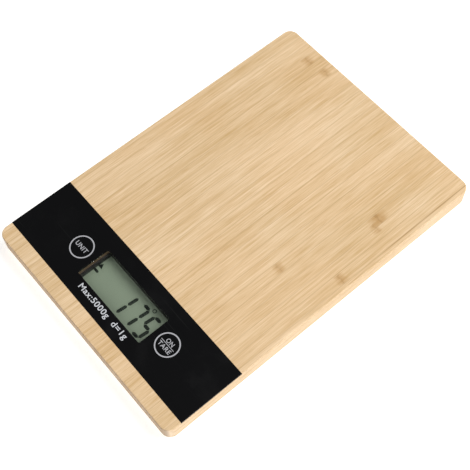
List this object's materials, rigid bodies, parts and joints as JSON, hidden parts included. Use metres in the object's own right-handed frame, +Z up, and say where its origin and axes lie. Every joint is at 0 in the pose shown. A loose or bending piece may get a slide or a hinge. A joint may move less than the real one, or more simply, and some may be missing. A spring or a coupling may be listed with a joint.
{
  "type": "kitchen scale",
  "caption": "Flat kitchen scale: a bamboo board on load-cell feet, with a flush black panel across its front, a liquid-crystal display, round keys and a battery door underneath.",
  "frame": {"origin": "on the supporting surface, under the middle of the bamboo board", "axes": "+X to the right of the person who reads the display, +Y from the display edge to the far edge, +Z up"},
  "size_m": [0.16, 0.23, 0.018],
  "materials": {
    "bamboo": "satin lacquered bamboo, grain along Y",
    "black_panel": "smooth black acrylic",
    "black_key": "smooth black acrylic",
    "clear_window": "clear acrylic window",
    "adhesive_film": "thin black double-sided film",
    "black_plastic": "fine-textured moulding",
    "display_film": "grey-green liquid-crystal display",
    "display_glass": "thin display glass",
    "reflector_film": "silvery diffusing film",
    "silicone_rubber": "layered conductive rubber",
    "circuit_board": "green solder mask",
    "black_epoxy": "poured epoxy",
    "chip_ceramic": "small chip parts",
    "bright_steel": "nickel-plated pressed steel",
    "zinc_steel": "zinc-plated screws",
    "cover_plastic": "fine-textured light grey moulding",
    "battery_wrap": "printed metal wrap, plain",
    "red_lead": "flexible insulation",
    "black_lead": "flexible insulation",
    "grey_lead": "flexible insulation",
    "white_plastic": "plain moulding",
    "white_sealant": "poured silicone",
    "foot_plastic": "fine-textured light grey moulding",
    "foot_rubber": "matt black rubber"
  },
  "bodies": {
    "platform": {"bamboo_platform": "bamboo", "battery_1": "battery_wrap", "battery_2": "battery_wrap", "battery_contacts": "bright_steel", "battery_lead_negative": "black_lead", "battery_lead_positive": "red_lead", "battery_springs": "bright_steel", "board_screws": "zinc_steel", "bottom_cover": "cover_plastic", "cell_holder_front_left": "white_plastic", "cell_holder_front_right": "white_plastic", "cell_holder_rear_left": "white_plastic", "cell_holder_rear_right": "white_plastic", "cell_lead_front_left": "grey_lead", "cell_lead_front_right": "grey_lead", "cell_lead_rear_left": "grey_lead", "cell_lead_rear_right": "grey_lead", "cell_screws": "zinc_steel", "chip_blob": "black_epoxy", "chip_components": "chip_ceramic", "cover_screws": "zinc_steel", "display_panel": "black_panel", "foot_cup_front_left": "foot_plastic", "foot_cup_front_right": "foot_plastic", "foot_cup_rear_left": "foot_plastic", "foot_cup_rear_right": "foot_plastic", "foot_pad_front_left": "foot_rubber", "foot_pad_front_right": "foot_rubber", "foot_pad_rear_left": "foot_rubber", "foot_pad_rear_right": "foot_rubber", "key_switch_tare": "black_plastic", "key_switch_unit": "black_plastic", "lcd_frame": "black_plastic", "lcd_front_glass": "display_glass", "lcd_front_polariser": "display_film", "lcd_rear_glass": "display_glass", "lcd_reflector": "reflector_film", "load_cell_front_left": "bright_steel", "load_cell_front_right": "bright_steel", "load_cell_rear_left": "bright_steel", "load_cell_rear_right": "bright_steel", "main_board": "circuit_board", "panel_tape": "adhesive_film", "strain_gauge_front_left": "white_sealant", "strain_gauge_front_right": "white_sealant", "strain_gauge_rear_left": "white_sealant", "strain_gauge_rear_right": "white_sealant", "timing_crystal": "bright_steel", "window_lens": "clear_window", "zebra_connector": "silicone_rubber"},
    "unit_key": {"key_unit": "black_key", "switch_plunger_unit": "white_plastic"},
    "tare_key": {"key_tare": "black_key", "switch_plunger_tare": "white_plastic"},
    "door": {"battery_door": "cover_plastic", "door_latch": "cover_plastic"}
  },
  "joints": [
    {"name": "unit_key_press", "type": "slide", "parent": "platform", "child": "unit_key", "axis": [0, 0, -1], "range_m": [0, 0.0003], "stiffness_N_per_m": 5000},
    {"name": "tare_key_press", "type": "slide", "parent": "platform", "child": "tare_key", "axis": [0, 0, -1], "range_m": [0, 0.0003], "stiffness_N_per_m": 5000},
    {"name": "battery_door_hinge", "type": "hinge", "parent": "platform", "child": "door", "pos_m": [0, -0.021, 0.0029], "axis": [1, 0, 0], "range_deg": [0, 90], "deforming": ["door_latch"]}
  ]
}
